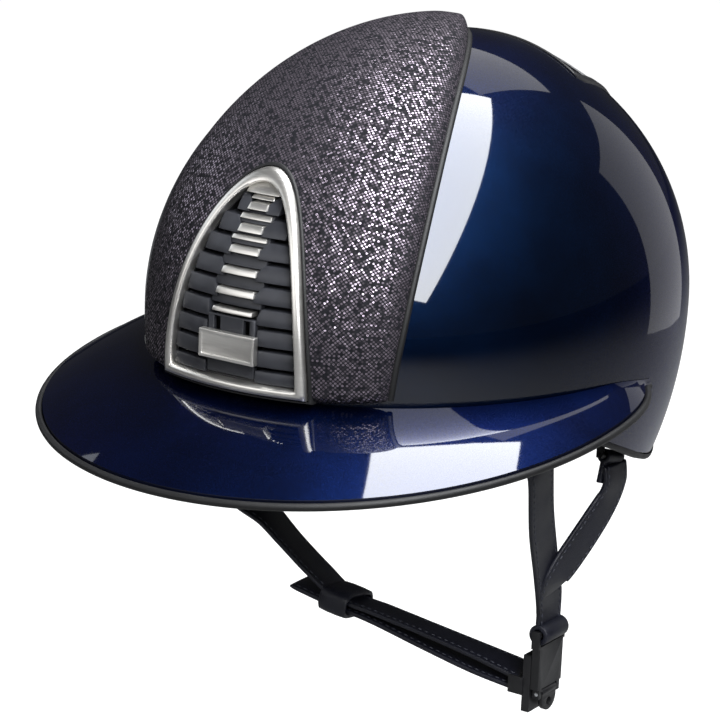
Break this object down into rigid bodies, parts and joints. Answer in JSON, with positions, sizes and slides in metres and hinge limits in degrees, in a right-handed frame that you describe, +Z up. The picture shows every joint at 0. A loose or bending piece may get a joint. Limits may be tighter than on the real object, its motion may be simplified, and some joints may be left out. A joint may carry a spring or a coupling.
{
  "type": "equestrian riding helmet",
  "caption": "Glossy riding helmet with a wide peak, a textile front panel with an arched vent grille, a rear vent and a leather chin harness with a face-to-face buckle.",
  "frame": {"origin": "middle of the head opening, level with the root of the peak, where the helmet meets the wearer's brow line", "axes": "+Z up towards the crown, -Y to the front, +X to the wearer's left"},
  "size_m": [0.2528, 0.3258, 0.2947],
  "materials": {
    "shell_navy": "deep navy metallic lacquer under clear gloss",
    "trim_black": "black moulded edge",
    "foam": "black moulded impact foam",
    "panel_textile": "charcoal textile with fine metallic dots",
    "frame_silver": "satin silver",
    "louvre_plastic": "dark grey moulding",
    "pad_fabric": "black padded mesh fabric",
    "strap_leather": "blue-black leather, stitched",
    "buckle_plastic": "black moulding",
    "steel": "bright steel"
  },
  "bodies": {
    "helmet": {"outer_shell": "shell_navy", "shell_edge_trim": "trim_black", "foam_liner": "foam", "peak": "shell_navy", "peak_edge_bead": "trim_black", "peak_screws": "steel", "front_panel": "panel_textile", "grille_frame": "frame_silver", "grille_louvres": "louvre_plastic", "louvre_inlays": "frame_silver", "slider_guide": "louvre_plastic", "vent_mesh": "louvre_plastic", "rear_vent_frame": "trim_black", "rear_vent_slats": "trim_black", "headband_pad": "pad_fabric", "crown_pad": "pad_fabric", "nape_pad": "pad_fabric", "left_side_pad": "pad_fabric", "right_side_pad": "pad_fabric", "pad_fasteners": "trim_black", "strap_anchors": "buckle_plastic", "anchor_screws": "steel"},
    "vent_slider_body": {"vent_slider": "frame_silver", "vent_shutter": "louvre_plastic"},
    "left_harness": {"left_strap_eyes": "strap_leather", "left_front_strap": "strap_leather", "left_rear_strap": "strap_leather", "left_strap_loop": "strap_leather", "buckle_outer": "buckle_plastic", "buckle_magnet": "steel", "release_pin": "steel"},
    "release_tab_body": {"release_tab": "buckle_plastic"},
    "right_harness": {"right_strap_eyes": "strap_leather", "right_front_strap": "strap_leather", "right_rear_strap": "strap_leather", "chin_strap": "strap_leather", "chin_strap_tail": "strap_leather", "buckle_inner": "buckle_plastic", "buckle_catch": "steel"},
    "keeper_body": {"strap_keeper": "strap_leather"}
  },
  "joints": [
    {"name": "vent_slide", "type": "slide", "parent": "helmet", "child": "vent_slider_body", "axis": [0, 0, 1], "range_m": [0, 0.007]},
    {"name": "left_harness_swing", "type": "hinge", "parent": "helmet", "child": "left_harness", "pos_m": [0.089, -0.052, -0.024], "axis": [0.032, -0.9481, 0.3165], "range_deg": [0, 40]},
    {"name": "release_tab_lift", "type": "hinge", "parent": "left_harness", "child": "release_tab_body", "pos_m": [0.07845, -0.011, -0.1484], "axis": [0, -1, 0], "range_deg": [0, 30], "stiffness_Nm_per_rad": 0.02},
    {"name": "right_harness_swing", "type": "hinge", "parent": "helmet", "child": "right_harness", "pos_m": [-0.089, -0.052, -0.024], "axis": [0.032, 0.9481, -0.3165], "range_deg": [0, 55]},
    {"name": "keeper_slide", "type": "slide", "parent": "right_harness", "child": "keeper_body", "axis": [0.9929, 0, -0.1187], "range_m": [0, 0.01]}
  ]
}
